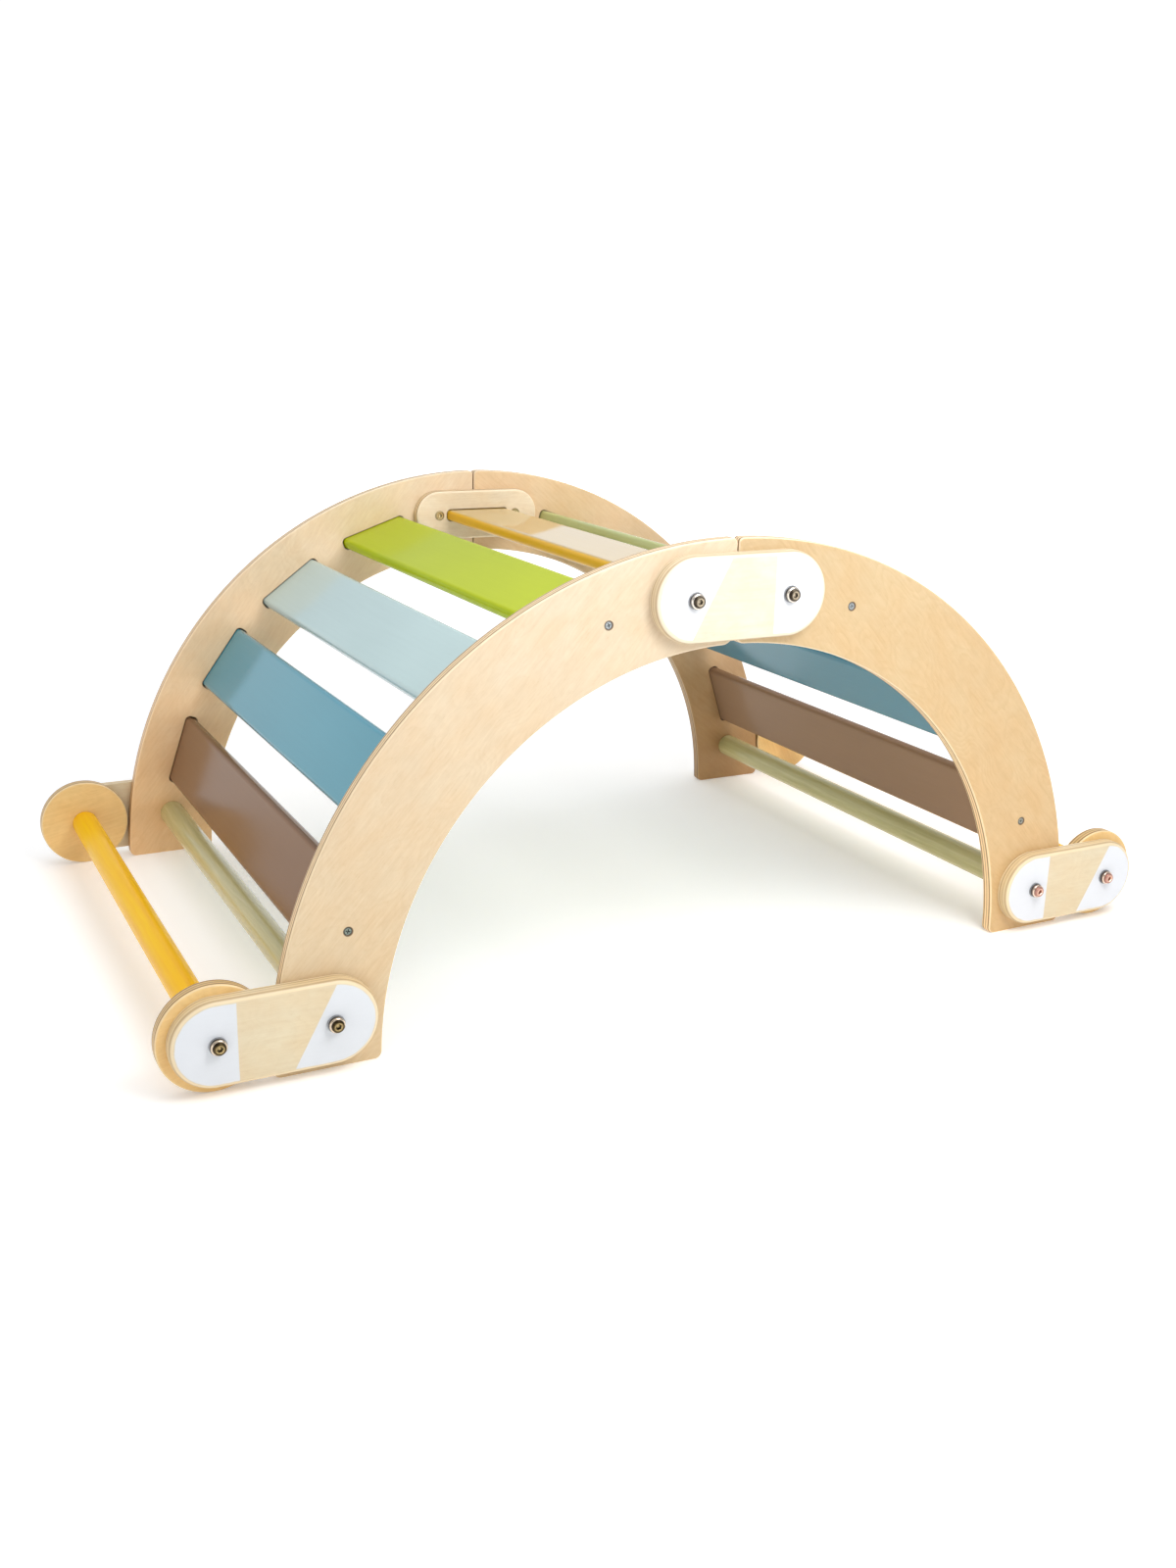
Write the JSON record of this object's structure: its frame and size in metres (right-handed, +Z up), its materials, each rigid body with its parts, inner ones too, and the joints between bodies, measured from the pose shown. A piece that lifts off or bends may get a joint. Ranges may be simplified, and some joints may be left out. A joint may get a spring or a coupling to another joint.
{
  "type": "wooden rocker arch",
  "caption": "Child's half-round climbing arch in birch plywood with painted slats, round foot dowels, spliced crown plates and swivelling end grips on round discs; turned over it is a rocker.",
  "frame": {"origin": "on the floor, under the crown joint, midway between the front and back rails", "axes": "+X along the arch, +Y to the back rails, +Z up"},
  "size_m": [1.2212, 0.7544, 0.5],
  "materials": {
    "birch_plywood": "clear satin lacquer, plies open on the edges",
    "painted_plate": "white paint on both ends, bare birch band between, plies open on the edge",
    "lime_lacquer": "gloss lacquer",
    "pale_blue_lacquer": "gloss lacquer",
    "blue_lacquer": "gloss lacquer",
    "mocha_lacquer": "gloss lacquer",
    "sage_lacquer": "gloss lacquer",
    "yellow_lacquer": "gloss lacquer",
    "sage_dowel_stain": "coloured stain under satin lacquer",
    "yellow_dowel_stain": "coloured stain under satin lacquer",
    "bronze_bolt": "bronzed, slightly worn",
    "zinc_washer": "zinc plated",
    "brass_nut": "nickelled brass"
  },
  "bodies": {
    "arch": {"quarter_rail_front_left": "birch_plywood", "quarter_rail_front_right": "birch_plywood", "quarter_rail_back_left": "birch_plywood", "quarter_rail_back_right": "birch_plywood", "slat_left_lime": "lime_lacquer", "slat_left_pale_blue": "pale_blue_lacquer", "slat_left_blue": "blue_lacquer", "slat_left_mocha": "mocha_lacquer", "slat_right_sage": "sage_lacquer", "slat_right_pale_blue": "pale_blue_lacquer", "slat_right_blue": "blue_lacquer", "slat_right_mocha": "mocha_lacquer", "crown_board": "yellow_lacquer", "foot_dowel_left": "sage_dowel_stain", "foot_dowel_right": "sage_dowel_stain", "crown_plate_front": "painted_plate", "crown_plate_back": "painted_plate", "crown_inner_plate_front": "birch_plywood", "crown_inner_plate_back": "birch_plywood", "crown_bolts": "bronze_bolt", "foot_bolts": "bronze_bolt", "crown_washers": "zinc_washer", "foot_washers": "zinc_washer", "crown_sleeve_nuts": "brass_nut", "foot_inserts": "brass_nut", "slat_screws": "zinc_washer"},
    "left_end_grip": {"disc_bolts_left": "bronze_bolt", "disc_washers_left": "zinc_washer", "disc_inserts_left": "brass_nut", "end_plate_front_left": "painted_plate", "end_disc_front_left": "birch_plywood", "end_plate_back_left": "painted_plate", "end_disc_back_left": "birch_plywood", "grip_dowel_left": "yellow_dowel_stain"},
    "right_end_grip": {"disc_bolts_right": "bronze_bolt", "disc_washers_right": "zinc_washer", "disc_inserts_right": "brass_nut", "end_plate_front_right": "painted_plate", "end_disc_front_right": "birch_plywood", "end_plate_back_right": "painted_plate", "end_disc_back_right": "birch_plywood", "grip_dowel_right": "yellow_dowel_stain"}
  },
  "joints": [
    {"name": "left_end_swivel", "type": "hinge", "parent": "arch", "child": "left_end_grip", "pos_m": [-0.44159, 0, 0.055], "axis": [0, 1, 0], "range_deg": [-9, 23]},
    {"name": "right_end_swivel", "type": "hinge", "parent": "arch", "child": "right_end_grip", "pos_m": [0.44159, 0, 0.055], "axis": [0, -1, 0], "range_deg": [-9, 23]}
  ]
}
